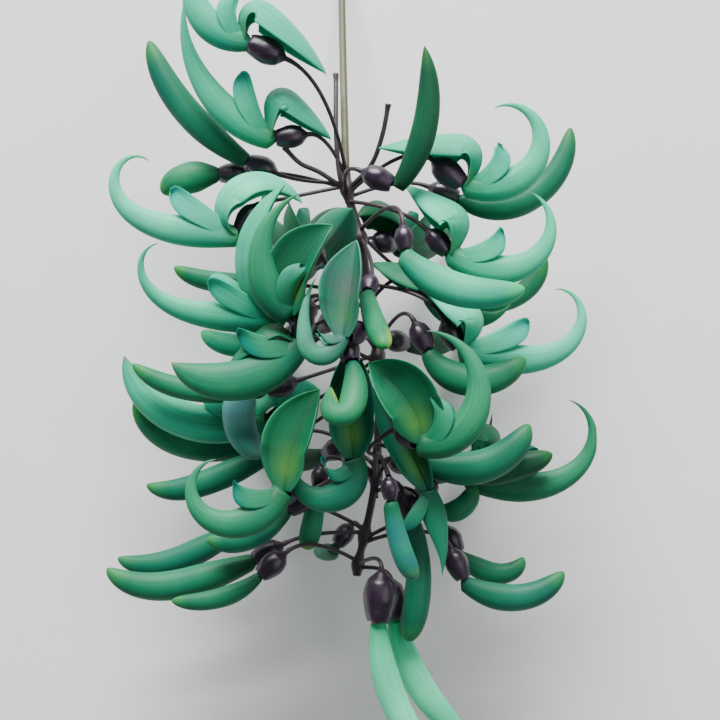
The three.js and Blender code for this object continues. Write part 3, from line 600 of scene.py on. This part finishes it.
def thickened(grid, s, v):
    """Closed rings round a blade's grid of points, thin at its margins and at its tip."""
    facing = np.cross(np.gradient(grid, axis=0), np.gradient(grid, axis=1))
    facing /= np.maximum(np.linalg.norm(facing, axis=-1, keepdims=True), 1e-9)
    margin = np.sqrt(np.clip(1 - np.abs(v) ** MARGIN_POWER, LEAST_EDGE, 1))[None, :]
    point = np.sqrt(1 + LEAST_EDGE - s ** POINT_POWER)[:, None]
    thick = (HOOD_THICKNESS * HOOD_THINNESS / 2 * (margin * point))[..., None]
    return np.concatenate([grid + facing * thick, (grid - facing * thick)[:, ::-1]], 1)


def hood(row, row_frame, origin):
    """The standard: a thin pointed blade folded along its middle, with a soft rolled margin."""
    *shape, fold = row["hood"]
    spin = math.radians(row.get("spin", 0))
    s = packed(HOOD_RINGS, HOOD_PACKING)
    v = np.linspace(-1, 1, HOOD_COLUMNS)
    centre, normal = bend(row_frame, origin, shape, s)
    side_way = row_frame[2] * math.cos(spin) + normal * math.sin(spin)
    lift_way = normal * math.cos(spin) - row_frame[2] * math.sin(spin)
    half = row.get("girth", 1) * row.get("wide", 1) * HOOD_WIDTH * hood_taper(s) / 2
    flare = np.abs(v)[None, :] * np.minimum(1, s / HOOD_FLARE)[:, None]
    lean = HOOD_CREASE + (HOOD_DRAPE - HOOD_CREASE) * flare / 2
    side = np.sign(v)[None, :] * (half[:, None] * np.abs(v)[None, :]) * np.cos(lean)
    lift = blade_lift(s, v, half, lean, fold, int(row["id"]))
    grid = centre[:, None] + side[..., None] * side_way[:, None] + lift[..., None] * lift_way[:, None]
    return sheet(thickened(grid, s, v), s, 2)


def knot_place(row):
    """Where a flower's stalk leaves the rachis. The stalks of one knot are spread along it."""
    mates = [other["id"] for other in FLOWERS if other["knot"] == row["knot"]]
    place = placed(KNOTS[row["knot"]])
    place[1] -= KNOT_SPREAD * (mates.index(row["id"]) - (len(mates) - 1) / 2)
    return place


def stalk_radius(t):
    """A stalk's radius at the share t of its way: thicker at the rachis and at the calyx."""
    top = STALK_TOP * smooth(STALK_TOP_START, 1, t)
    foot = STALK_FOOT * smooth(STALK_FOOT_END, 0, t)
    return STALK_RADIUS * (1 + top + foot)


def stalk(knot, bow, root, across):
    """A slender stalk in one bow from its knot to the calyx's root."""
    t = np.linspace(0, 1, STALK_RINGS)
    way = t[:, None]
    route = (1 - way) ** 2 * knot + 2 * way * (1 - way) * bow + way ** 2 * root
    tangent = unit(np.gradient(route, axis=0))
    normal = unit(np.cross(across, tangent))
    radius = stalk_radius(t)
    points = loft(route, normal, np.cross(tangent, normal), radius, radius, round_turn(STALK_SIDES))
    return sheet(points, t, 0, capped=False)


def thimble(root, way, across, length, cup, phase):
    """A calyx: a swollen cup with shallow lobes, whose wall turns in at its mouth."""
    t = np.linspace(0, 1, CALYX_RINGS) ** CALYX_SPACING
    swell = np.sin(np.pi * (CALYX_SWELL[0] + CALYX_SWELL[1] * t))
    body = cup * CALYX_RADIUS * (CALYX_ROOT + (1 - CALYX_ROOT) * swell)
    neck = stalk_radius(1.0)
    body = neck + (body - neck) * np.minimum(1, t / CALYX_NECK) ** NECK_POWER
    turn = round_turn(CALYX_SIDES)
    normal = np.repeat(np.cross(across, way)[None], CALYX_RINGS, 0)
    axis = root + way * (length * t)[:, None]
    outer = loft(axis, normal, np.repeat(across[None], CALYX_RINGS, 0), body, body, turn)
    lobes = BRIM_REACH + LOBE_REACH * np.abs(np.cos(LOBES / 2 * turn + phase)) ** LOBE_POWER
    outer += cup * (smooth(LOBE_START, 1, t)[:, None] * lobes[None])[..., None] * way
    core = axis[::-1][:CALYX_INNER, None]
    shrink = (1 - CALYX_WALL / body[::-1][:CALYX_INNER])[:, None, None]
    inner = core + (outer[::-1][:CALYX_INNER] - core) * shrink
    brim = (outer[-1] + inner[0]) / 2 + way * BRIM_ROUNDING
    along = np.concatenate([0.5 * t, [0.5], np.linspace(0.5, 1, CALYX_INNER)])
    return sheet(np.concatenate([outer, brim[None], inner]), along, 1)


def stalk_and_calyx(row):
    """What holds one flower: a stalk from the rachis, and a calyx round the flower's root."""
    cup = row.get("cup", 1)
    way = calyx_way(row, frame_of(row))
    length = CALYX_LENGTH * cup - SEAT_RADIUS
    root = placed(row["mouth"]) - way * (SEAT_RADIUS + SEAT_GAP) - way * length
    knot = knot_place(row)
    bow = placed(row["via"]) if "via" in row else root - way * STALK_BOW * np.linalg.norm(knot - root)
    across = unit(np.cross(root - knot, way))
    return [stalk(knot, bow, root, across), thimble(root, way, across, length, cup, row["aim"])]


def rod(places, radii, rings, sides, cut=None, swellings=()):
    """A faintly ribbed tube along a curve. Swellings are (place, height, width) on its radius."""
    line = spline(places, rings)
    tangent = unit(np.gradient(line, axis=0))
    side = unit(ROD_GUIDE - (tangent @ ROD_GUIDE)[:, None] * tangent)
    size = np.interp(np.linspace(0, 1, rings), np.linspace(0, 1, len(radii)), radii)
    for place, height, width in swellings:
        size = size + height * bell(np.linalg.norm(line - place, axis=1), width)
    turn = round_turn(sides)
    ribs = 1 + ROD_RELIEF * np.sin(ROD_RIBS * turn)[None, :, None]
    points = loft(line, np.cross(side, tangent), side, size, size, turn)
    points = line[:, None] + (points - line[:, None]) * ribs
    return sheet(points, np.linspace(0, 1, rings), 0, cut=cut)


class Tree:
    """Shorthand for building one material's nodes."""

    def __init__(self, name, roughness):
        self.material = bpy.data.materials.new(name)
        self.material.use_nodes = True
        self.nodes, self.links = self.material.node_tree.nodes, self.material.node_tree.links
        self.shader = self.nodes["Principled BSDF"]
        self.shader.inputs["Roughness"].default_value = roughness

    def add(self, kind, inputs=(), **settings):
        made = self.nodes.new("ShaderNode" + kind)
        for key, value in settings.items():
            setattr(made, key, value)
        for key, value in dict(inputs).items():
            if isinstance(value, bpy.types.NodeSocket):
                self.links.new(value, made.inputs[key])
            else:
                made.inputs[key].default_value = value
        return made

    def math(self, operation, a, b=0.0):
        return self.add("Math", {0: a, 1: b}, operation=operation).outputs[0]

    def times(self, a, b):
        return self.math("MULTIPLY", a, b)

    def form(self):
        """Across and along of the map Form."""
        split = self.add("SeparateXYZ", {0: self.add("UVMap", uv_map="Form").outputs[0]})
        return split.outputs[0], split.outputs[1]

    def round_grain(self, around, along, fine, stretch):
        """Coordinates for streaks that run along a closed limb with no seam."""
        turn = self.times(around, 2 * math.pi)
        x = self.times(self.math("COSINE", turn), fine)
        y = self.times(self.math("SINE", turn), fine)
        return self.add("CombineXYZ", {0: x, 1: y, 2: self.times(along, stretch)}).outputs[0]

    def noise(self, vector, scale, detail=4.0, roughness=0.55):
        inputs = {"Vector": vector, "Scale": scale, "Detail": detail, "Roughness": roughness}
        return self.add("TexNoise", inputs).outputs[0]

    def ramp(self, factor, stops):
        made = self.add("ValToRGB", {0: factor})
        ramp = made.color_ramp
        while len(ramp.elements) < len(stops):
            ramp.elements.new(0.5)
        for element, (place, colour) in zip(ramp.elements, stops):
            element.position = place
            element.color = (*colour, 1)
        return made.outputs[0]

    def span(self, value, low, high, to_low=0.0, to_high=1.0):
        """The stretch of value from low to high, laid over the stretch from to_low to to_high."""
        inputs = {0: value, 1: low, 2: high, 3: to_low, 4: to_high}
        return self.add("MapRange", inputs, clamp=True).outputs[0]

    def mix(self, factor, a, b, blend="MIX"):
        made = self.add("Mix", data_type="RGBA", blend_type=blend)
        for key, value in ((0, factor), (6, a), (7, b)):
            if isinstance(value, bpy.types.NodeSocket):
                self.links.new(value, made.inputs[key])
            else:
                made.inputs[key].default_value = value if key == 0 else (*value, 1)
        return made.outputs[2]

    def object_place(self):
        return self.add("TexCoord").outputs["Object"]

    def off_middle(self, place):
        """How far a place is from 0.5: across, the inner side of a limb, and along, a calyx's brim."""
        return self.math("ABSOLUTE", self.math("SUBTRACT", place, 0.5))

    def bump(self, height, strength, distance):
        made = self.add("Bump", {"Height": height, "Strength": strength, "Distance": distance})
        self.feed("Normal", made.outputs[0])

    def feed(self, name, socket):
        self.links.new(socket, self.shader.inputs[name])

    def settle(self, values):
        for name, value in values.items():
            self.shader.inputs[name].default_value = value


# Petal colours, linear: root, body, glow of the middle, tip, and the tint of its blotches.
PALETTES = {
    "pale": [(0.020, 0.360, 0.120), (0.070, 0.640, 0.330), (0.130, 0.820, 0.450),
             (0.100, 0.700, 0.340), (0.06, 0.56, 0.33)],
    # A lighter copy of the mint colours, for flowers that the key lamp leaves dim: painted light.
    "mist": [(0.060, 0.300, 0.140), (0.035, 0.420, 0.230), (0.070, 0.580, 0.340),
             (0.040, 0.460, 0.230), (0.02, 0.36, 0.30)],
    "mint": [(0.020, 0.210, 0.085), (0.018, 0.340, 0.180), (0.040, 0.480, 0.270),
             (0.030, 0.400, 0.200), (0.01, 0.29, 0.25)],
    "jade": [(0.006, 0.085, 0.033), (0.010, 0.150, 0.064), (0.019, 0.225, 0.100),
             (0.022, 0.200, 0.070), (0.00, 0.14, 0.12)],
    "teal": [(0.004, 0.075, 0.034), (0.006, 0.130, 0.064), (0.012, 0.190, 0.096),
             (0.018, 0.175, 0.068), (0.00, 0.11, 0.13)],
    # A darker copy of the jade and teal colours, for flowers that lie in shade: painted shade.
    "shaded": [(0.002, 0.036, 0.012), (0.004, 0.070, 0.030), (0.008, 0.110, 0.046),
             (0.014, 0.105, 0.032), (0.00, 0.07, 0.05)],
    "blue": [(0.004, 0.090, 0.042), (0.010, 0.160, 0.078), (0.020, 0.230, 0.115),
             (0.060, 0.250, 0.050), (0.01, 0.09, 0.20)],
    "lime": [(0.005, 0.090, 0.038), (0.009, 0.150, 0.065), (0.016, 0.210, 0.080),
             (0.014, 0.200, 0.080), (0.00, 0.15, 0.13)],
    "violet": [(0.008, 0.100, 0.055), (0.014, 0.165, 0.088), (0.030, 0.250, 0.140),
               (0.024, 0.210, 0.098), (0.06, 0.11, 0.12)],
    "lilac": [(0.050, 0.200, 0.150), (0.040, 0.270, 0.200), (0.070, 0.360, 0.270),
              (0.050, 0.300, 0.200), (0.11, 0.15, 0.24)],
}
BLOTCHED = ("violet", "blue", "lilac")
DRY_POINT = (0.13, 0.16, 0.08)
HOOD_BASE = (0.13, 0.26, 0.09)
LIME_PEAK = (0.30, 0.42, 0.045)
BOAT_STAIN = (0.060, 0.17, 0.020)
VIOLET_HAZE = (0.075, 0.085, 0.075)
BUD_TIP_TINT = (1.25, 1.1, 0.75)
DRIFT_TINT = (0.75, 0.85, 1.05)
# The colour of the painted shade in a hood's crease, as a tint of its root colour.
CREASE_SHADE = (1.5, 1.3, 0.9)

# On the map Form a blade's margins are at 0 and 0.5, and the middles of its two faces at 0.25 and 0.75.
BLADE_MIDDLE = 0.25


class Petal(Tree):
    """The material of one kind of petal in one palette.

    Keel and bud are closed limbs, wing has a bright lip, hood is a folded blade, and boat its young form.
    """

    def __init__(self, look, kind):
        super().__init__(f"{look}_{kind}", 0.45)
        self.look, self.kind = look, kind
        self.root, self.body, self.glow, self.tip, self.mark = (np.array(shade) for shade in PALETTES[look])
        self.around, self.along = self.form()

    def stops(self):
        """The colours from the petal's root to its tip."""
        root, body, glow, tip = self.root, self.body, self.glow, self.tip
        if self.kind == "keel":
            return [(0.0, root), (0.14, body), (0.45, glow), (0.8, glow), (0.95, tip), (0.985, DRY_POINT)]
        if self.kind == "bud":
            tip = tip * BUD_TIP_TINT
            return [(0.0, root), (0.16, body), (0.5, glow), (0.82, body), (0.93, tip), (1.0, tip)]
        if self.kind == "wing":
            return [(0.0, root), (0.2, body), (0.5, glow), (0.85, glow * 1.15), (1.0, tip)]
        if self.kind == "hood":
            return [(0.0, HOOD_BASE), (0.15, body), (0.5, glow), (0.85, glow), (1.0, tip)]
        # A boat's colours are darker copies of its body and glow: painted shade.
        return [(0.0, root), (0.2, body * 0.75), (0.5, body * 0.85), (0.85, glow * 0.8), (1.0, tip)]

    def patch(self, start, full, end):
        """Rises along the petal from start to full, and fades till end."""
        return self.times(self.span(self.along, start, full), self.span(self.along, full, end, 1.0, 0.0))

    def clouded(self, colour, cloud, drift):
        """Blotches of the palette's tint, and wide drifts of a cooler body colour."""
        blotch = self.times(self.span(cloud, 0.5, 0.72), 0.85 if self.look in BLOTCHED else 0.35)
        colour = self.mix(blotch, colour, self.mark)
        return self.mix(self.span(drift, 0.35, 0.65, 0.0, 0.35), colour, self.body * DRIFT_TINT)

    def streaked(self, colour, streak, cloud):
        """Streaks and clouds that darken and lighten the petal, softer on buds."""
        dark, bright = (0.92, 1.07) if self.kind == "bud" else (0.84, 1.12)
        tone = self.span(streak, 0.32, 0.68, dark, bright)
        shade = self.times(tone, self.span(cloud, 0.3, 0.7, 1.08, 0.9))
        grey = self.add("CombineColor", {0: shade, 1: shade, 2: shade}).outputs[0]
        return self.mix(1.0, colour, grey, "MULTIPLY")

    def seamed(self, colour):
        """A dark seam down the inner side of a keel or bud, and a pale line along its back."""
        off = self.off_middle(self.around)
        seam = self.span(off, 0.0, 0.018, 0.5 if self.kind == "bud" else 0.35, 0.0)
        colour = self.mix(seam, colour, self.root * 0.8)
        back = self.span(self.math("SUBTRACT", 0.5, off), 0.0, 0.03, 0.22, 0.0)
        colour = self.mix(back, colour, self.glow * 1.4)
        if self.look == "lime":
            peak = self.times(self.span(self.along, 0.68, 0.9), self.span(off, 0.03, 0.2, 0.9, 0.0))
            colour = self.mix(peak, colour, LIME_PEAK)
        return colour

    def lipped(self, colour, cloud):
        """A wing's tinted inner lip and its blotched far end."""
        lip = self.span(self.off_middle(self.around), 0.0, 0.09, 0.5, 0.0)
        colour = self.mix(lip, colour, self.mark * 1.5)
        far = self.times(self.span(self.along, 0.55, 0.95), self.span(cloud, 0.35, 0.6, 0.2, 0.8))
        return self.mix(far, colour, self.mark * 1.3)

    def creased(self, colour):
        """A hood's pale margin, and a darker, yellower band along the crease in its middle: painted shade.
        """
        fold = self.math("PINGPONG", self.around, BLADE_MIDDLE)
        edge = self.span(fold, 0.0, 0.03, 0.4, 0.0)
        colour = self.mix(edge, colour, self.glow * 1.35)
        # Painted shade along the crease, darkest at the fold line.
        crease = self.span(fold, 0.235, BLADE_MIDDLE, 0.0, 0.45)
        return self.mix(crease, colour, self.root * CREASE_SHADE)

    def hollowed(self, colour):
        """A boat's hollow darkened as painted shade, a yellow-green stain near its root, and its pale
        margin.
        """
        fold = self.math("PINGPONG", self.around, BLADE_MIDDLE)
        # Painted shade in the hollow, darkest along the middle of each face.
        hollow = self.span(fold, 0.10, 0.24, 0.0, 0.6)
        colour = self.mix(hollow, colour, self.root * 0.8)
        strength = 0.3 if self.look == "violet" else 0.6
        stain = self.times(self.patch(0.04, 0.2, 0.5), self.span(fold, 0.08, 0.2, 0.0, strength))
        colour = self.mix(stain, colour, BOAT_STAIN)
        if self.look == "violet":
            haze = self.times(self.patch(0.3, 0.5, 0.75), self.span(fold, 0.08, 0.2, 0.0, 0.5))
            colour = self.mix(haze, colour, VIOLET_HAZE)
        edge = self.span(fold, 0.0, 0.06, 0.6, 0.0)
        return self.mix(edge, colour, self.glow * 1.15)

    def skin(self, streak, place):
        """Fine grain along the petal and fine pores, a soft sheen, and a little light through the flesh."""
        grain = self.round_grain(self.around, self.along, fine=26.0, stretch=3.0)
        fibre = self.noise(grain, scale=2.0, detail=3.0)
        pore = self.noise(place, scale=900.0, detail=2.0)
        height = self.math("ADD", self.times(fibre, 0.6), self.times(pore, 0.35))
        self.bump(height, strength=0.14, distance=0.0003)
        self.feed("Roughness", self.span(streak, 0.3, 0.7, 0.42, 0.56))
        self.settle({
            "Specular IOR Level": 0.2,
            "Subsurface Weight": 0.12,
            "Subsurface Radius": (0.4, 1.0, 0.8),
            "Subsurface Scale": 0.003,
        })


def petal(look, kind):
    """The petal material of one palette and kind: its colours, marks and skin."""
    tree = Petal(look, kind)
    colour = tree.ramp(tree.along, tree.stops())
    fineness = 6.0 if kind in ("hood", "boat") else 3.4
    grain = tree.round_grain(tree.around, tree.along, fineness, stretch=1.3)
    streak = tree.noise(grain, scale=1.3, detail=3.0, roughness=0.45)
    place = tree.object_place()
    cloud = tree.noise(place, scale=32.0, detail=3.0, roughness=0.6)
    drift = tree.noise(place, scale=11.0, detail=1.0, roughness=0.5)
    colour = tree.streaked(tree.clouded(colour, cloud, drift), streak, cloud)
    if kind in ("keel", "bud"):
        colour = tree.seamed(colour)
    elif kind == "wing":
        colour = tree.lipped(colour, cloud)
    elif kind == "hood":
        colour = tree.creased(colour)
    else:
        colour = tree.hollowed(colour)
    tree.feed("Base Color", colour)
    tree.skin(streak, place)
    return tree.material


def dark_skin(name, low, high, speck, roughness, ribs, relief):
    """Stalks, rachis, calyces and stem: satin, finely ribbed and speckled. Calyces have a lighter brim."""
    tree = Tree(name, roughness)
    around, along = tree.form()
    mottle = tree.noise(tree.object_place(), scale=220.0, detail=5.0, roughness=0.65)
    grain = tree.round_grain(around, along, ribs, stretch=1.5)
    rib = tree.noise(grain, scale=1.0, detail=5.0, roughness=0.6)
    colour = tree.mix(tree.span(rib, 0.35, 0.68), low, high)
    colour = tree.mix(tree.span(mottle, 0.58, 0.72, 0.0, 0.6), colour, speck)
    if name == "calyx":
        brim = tree.span(tree.off_middle(along), 0.0, 0.05, 0.35, 0.0)
        colour = tree.mix(brim, colour, np.array(high) * 1.8)
    tree.feed("Base Color", colour)
    tree.feed("Roughness", tree.span(mottle, 0.3, 0.7, roughness - 0.1, roughness + 0.12))
    tree.bump(tree.math("ADD", rib, tree.times(mottle, 0.5)), strength=relief, distance=0.0004)
    tree.settle({
        "Specular IOR Level": 0.65,
        "Sheen Weight": 0.12,
        "Sheen Roughness": 0.3,
        "Sheen Tint": (0.72, 0.55, 0.85, 1),
    })
    return tree.material


def cut_end(name, pith, rind):
    """A cut end: pale pith mottled with the darker colour of its rind."""
    tree = Tree(name, 0.75)
    spots = tree.noise(tree.object_place(), scale=1400.0, detail=3.0)
    tree.feed("Base Color", tree.mix(tree.span(spots, 0.35, 0.65), pith, rind))
    tree.bump(spots, strength=0.4, distance=0.0004)
    return tree.material


def floor_paper(name, low, high):
    """Pale matt paper, a little uneven in its tone."""
    tree = Tree(name, 0.9)
    tree.feed("Base Color", tree.mix(tree.noise(tree.object_place(), scale=40.0), low, high))
    return tree.material


bark = dark_skin("stalk_skin", low=(0.010, 0.004, 0.008), high=(0.034, 0.013, 0.024),
                 speck=(0.065, 0.036, 0.04), roughness=0.48, ribs=5.0, relief=0.4)
velvet = dark_skin("calyx", low=(0.006, 0.002, 0.007), high=(0.032, 0.012, 0.038),
                   speck=(0.060, 0.032, 0.056), roughness=0.34, ribs=6.0, relief=0.22)
olive = dark_skin("stem_skin", low=(0.035, 0.034, 0.012), high=(0.120, 0.115, 0.040),
                  speck=(0.16, 0.13, 0.07), roughness=0.55, ribs=6.0, relief=0.45)
pith = cut_end("cut_end", pith=(0.42, 0.36, 0.22), rind=(0.20, 0.15, 0.08))
petals = {}


def look_of(look, kind):
    """A petal's material, made once for each palette and kind."""
    if (look, kind) not in petals:
        petals[look, kind] = petal(look, kind)
    return petals[look, kind]


def stem():
    """The olive main stalk, with its cut end."""
    limb = rod(STEM_LINE, [STEM_RADIUS], STEM_RINGS, STEM_SIDES, cut=1)
    piece("stem_skin", [limb], [olive, pith], ["stem"])


def rachis():
    """The rachis with its knots, the bare stalks, and a stalk and calyx for each flower."""
    swellings = [(placed(place), *KNOT_SWELLING) for place in KNOTS.values()]
    radii = [RACHIS_RADIUS, RACHIS_RADIUS, RACHIS_RADIUS * RACHIS_NARROWING]
    line = [RACHIS_TOP, *KNOTS.values(), RACHIS_END]
    sheets = [rod(line, radii, RACHIS_RINGS, STEM_SIDES, swellings=swellings)]
    for places in BARE_STALKS:
        scar = (placed(places[-1]), *SCAR_SWELLING)
        sheets.append(rod(places, [BARE_RADIUS], BARE_RINGS, BARE_SIDES, cut=2, swellings=[scar]))
    for row in FLOWERS:
        sheets.extend(stalk_and_calyx(row))
    piece("rachis_stalks_calyces", sheets, [bark, velvet, pith], ["rachis"])


def flower(row):
    """A closed bud, or the keel, wings and standard of an open flower."""
    row_frame = frame_of(row)
    origin = placed(row["mouth"])
    sheets = [claw(row, row_frame, origin)]
    if "hood" in row:
        name = "bloom_" + row["id"]
        sheets += wings(row, row_frame, origin) + [hood(row, row_frame, origin)]
        kinds = ["keel", "wing", "hood" if row["hood"][4] > 0 else "boat"]
    else:
        name = "bud_" + row["id"]
        kinds = ["bud"]
    looks = [look_of(row["look"], kind) for kind in kinds]
    piece(name + "_petals", sheets, looks, [name])


stem()
rachis()
for row in FLOWERS:
    flower(row)

# Pale floor and soft studio light, most of it from the stem's side. Metres and watts.
FLOOR_SIZE = 6
LIGHT_TARGET = (0, 0, 0.06)
WORLD_COLOUR = (0.9, 0.95, 1.0, 1)
WORLD_STRENGTH = 0.22

bpy.ops.mesh.primitive_plane_add(size=FLOOR_SIZE, location=(0, 0, 0))
floor = bpy.context.object
floor.name = "floor"
floor.data.materials.append(floor_paper("floor_paper", low=(0.80, 0.80, 0.79), high=(0.84, 0.84, 0.83)))


def softbox(name, place, size, power):
    light = bpy.data.lights.new(name, "AREA")
    light.shape = "RECTANGLE"
    light.size, light.size_y = size
    light.energy = power
    made = bpy.data.objects.new(name, light)
    bpy.context.scene.collection.objects.link(made)
    made.location = place
    made.rotation_euler = (Vector(LIGHT_TARGET) - Vector(place)).to_track_quat("-Z", "Y").to_euler()


softbox("key", place=(-0.24, 1.9, 1.2), size=(1.6, 1.0), power=165)
softbox("fill", place=(0.6, -0.1, 0.9), size=(0.8, 0.8), power=3)
world = bpy.data.worlds.new("world")
bpy.context.scene.world = world
world.use_nodes = True
world.node_tree.nodes["Background"].inputs[0].default_value = WORLD_COLOUR
world.node_tree.nodes["Background"].inputs[1].default_value = WORLD_STRENGTH
